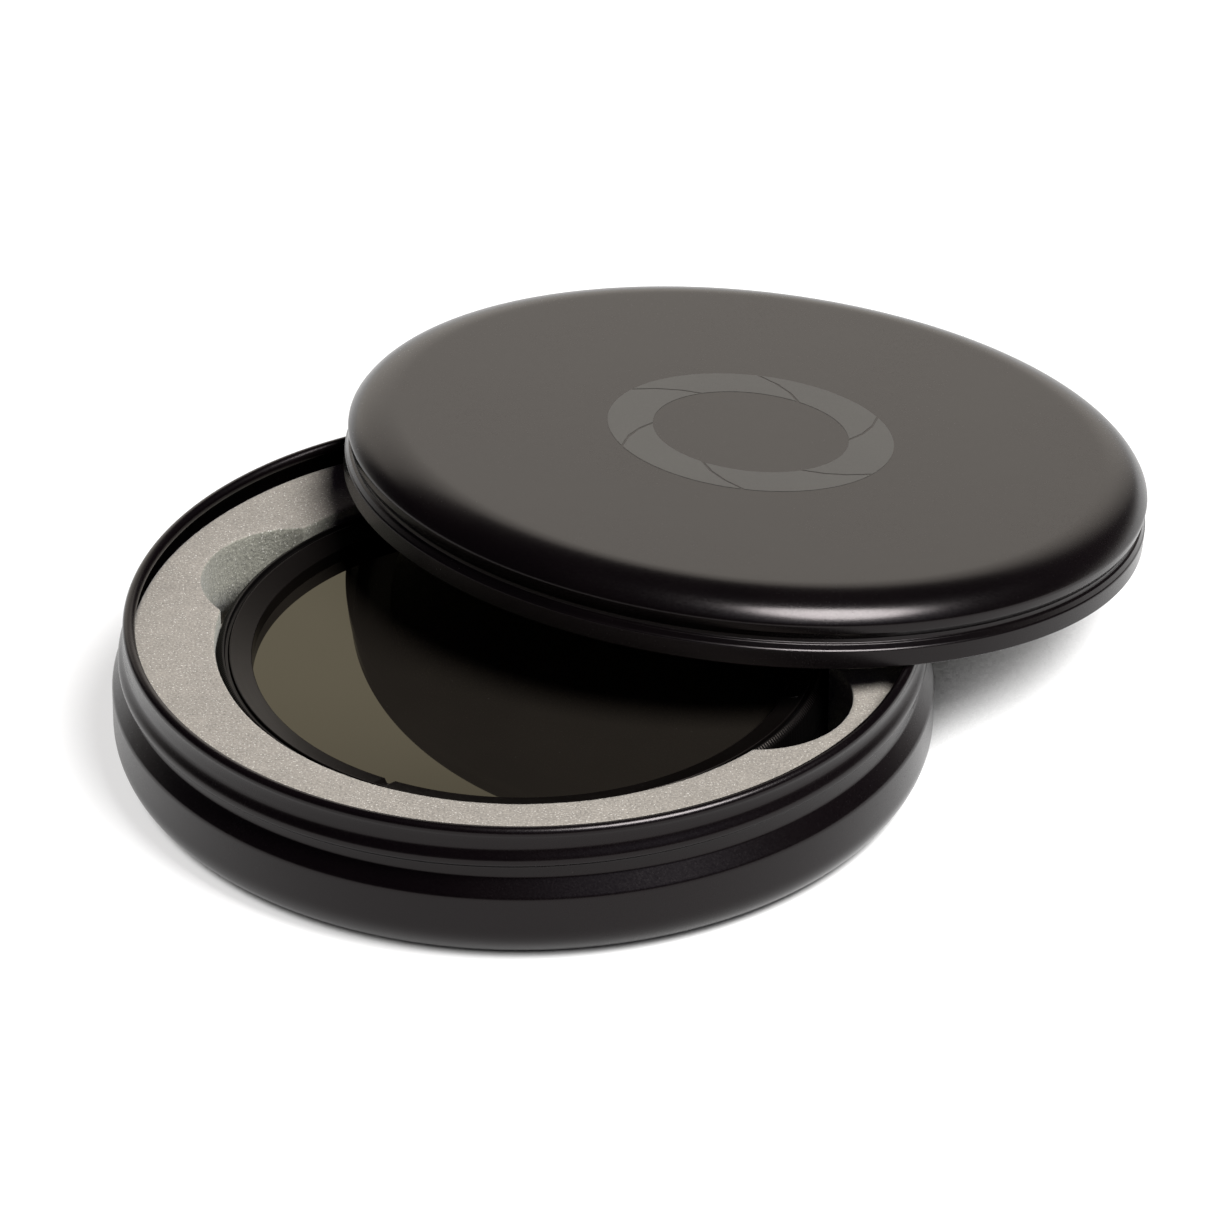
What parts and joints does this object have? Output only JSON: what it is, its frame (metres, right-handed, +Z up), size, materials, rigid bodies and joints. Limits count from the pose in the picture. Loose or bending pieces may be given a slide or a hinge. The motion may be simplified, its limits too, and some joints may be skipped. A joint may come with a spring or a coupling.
{
  "type": "camera filter in a round tin",
  "caption": "Round black screw-lid tin, lid leaning on the open base, with a variable neutral-density lens filter in a foam tray with finger notches.",
  "frame": {"origin": "centre of the base tin's flat underside, on the surface it stands on", "axes": "+Z up along the base tin's axis; -Y towards the viewer in the picture, +X to the viewer's right; the lid lies towards +X +Y"},
  "size_m": [0.1404, 0.1478, 0.0324],
  "materials": {
    "tin_metal": "satin black lacquer over pressed sheet",
    "foam": "warm grey closed-cell foam",
    "ring_metal": "black anodised, semi matte",
    "blackened_plastic": "blackened",
    "coated_glass": "polished, dark coated",
    "polariser_film": "smoky film",
    "spring_wire": "drawn wire",
    "white_plastic": "low-friction washer",
    "pin_metal": "turned"
  },
  "bodies": {
    "base": {"base_tin": "tin_metal", "foam_tray": "foam", "foam_floor": "foam"},
    "lid": {"lid_tin": "tin_metal", "lid_liner": "foam"},
    "filter_rear": {"rear_ring": "ring_metal", "rear_glass_spacer": "blackened_plastic", "rear_outer_glass": "coated_glass", "rear_polariser_film": "polariser_film", "rear_inner_glass": "coated_glass", "rear_retaining_ring": "ring_metal", "snap_ring": "spring_wire", "drag_washer": "white_plastic"},
    "filter_front": {"front_ring": "ring_metal", "front_retaining_ring": "ring_metal", "front_glass_spacer": "blackened_plastic", "front_inner_glass": "coated_glass", "front_polariser_film": "polariser_film", "front_outer_glass": "coated_glass", "stop_pin": "pin_metal"}
  },
  "joints": [
    {"name": "lid_lift", "type": "slide", "parent": "base", "child": "lid", "axis": [0, 0, 1], "range_m": [0, 0.08]},
    {"name": "filter_lift", "type": "slide", "parent": "base", "child": "filter_rear", "axis": [0, 0, 1], "range_m": [0, 0.04]},
    {"name": "filter_turn", "type": "hinge", "parent": "filter_rear", "child": "filter_front", "pos_m": [0, 0, 0.0083], "axis": [0, 0, 1], "range_deg": [0, 70]}
  ],
  "couplings": [
    {"joint": "filter_lift", "follows": "lid_lift", "ratio": 0.5}
  ]
}
